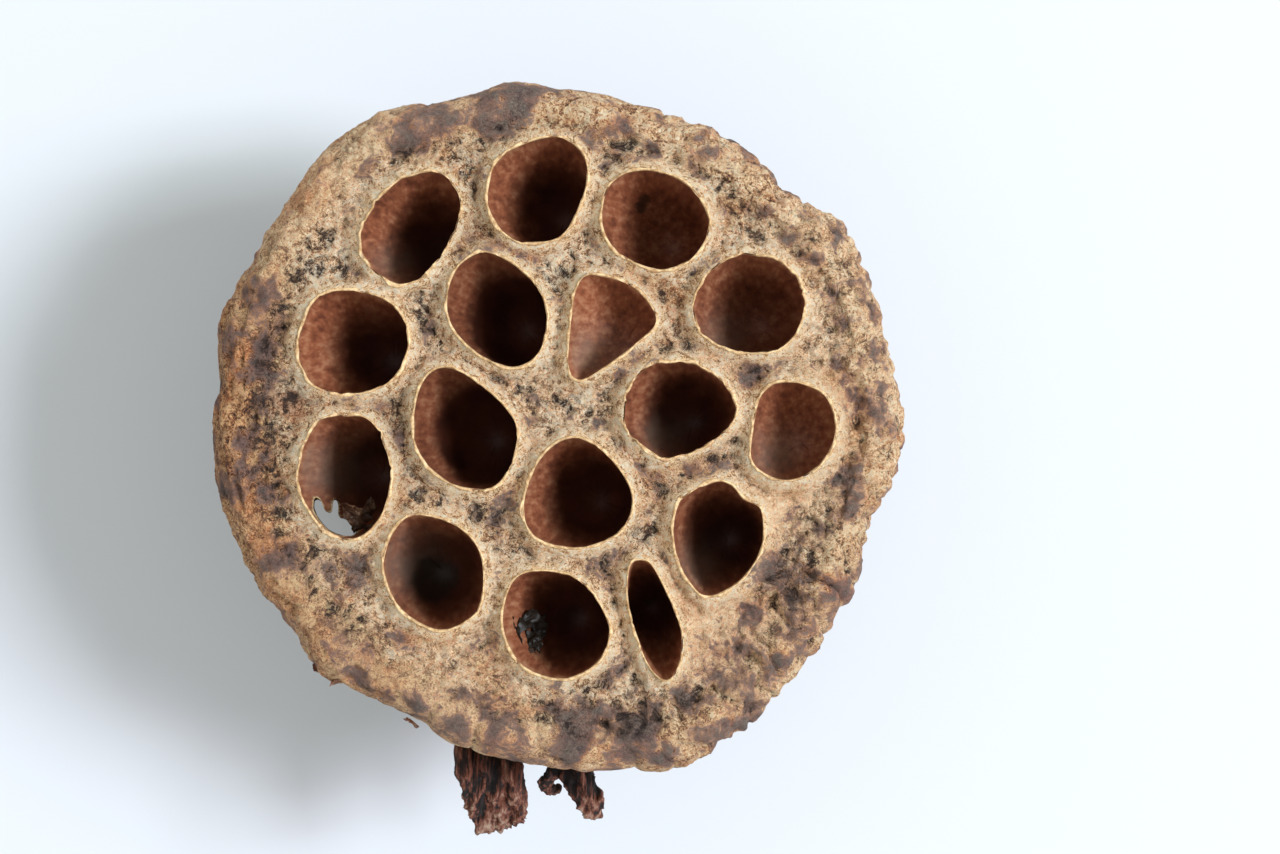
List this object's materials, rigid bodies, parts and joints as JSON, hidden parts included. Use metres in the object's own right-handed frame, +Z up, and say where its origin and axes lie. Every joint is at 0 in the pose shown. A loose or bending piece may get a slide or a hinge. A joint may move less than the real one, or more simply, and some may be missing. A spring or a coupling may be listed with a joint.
{
  "type": "dried lotus pod",
  "caption": "Dried lotus seed head, a flat-topped woody cone with open empty seed cells in its face and a torn, bent stem stub at its foot.",
  "frame": {"origin": "middle of the small flat underside of the neck that the pod rests on, below the middle of the seed face", "axes": "+Z up through the seed face, -Y towards the torn stem, +X to the right as seen from the stem's side"},
  "size_m": [0.0976, 0.1072, 0.0589],
  "materials": {
    "pod": "matt",
    "stem": "matt"
  },
  "bodies": {
    "root": {"seed_head": "pod", "torn_stem": "stem"}
  },
  "joints": []
}
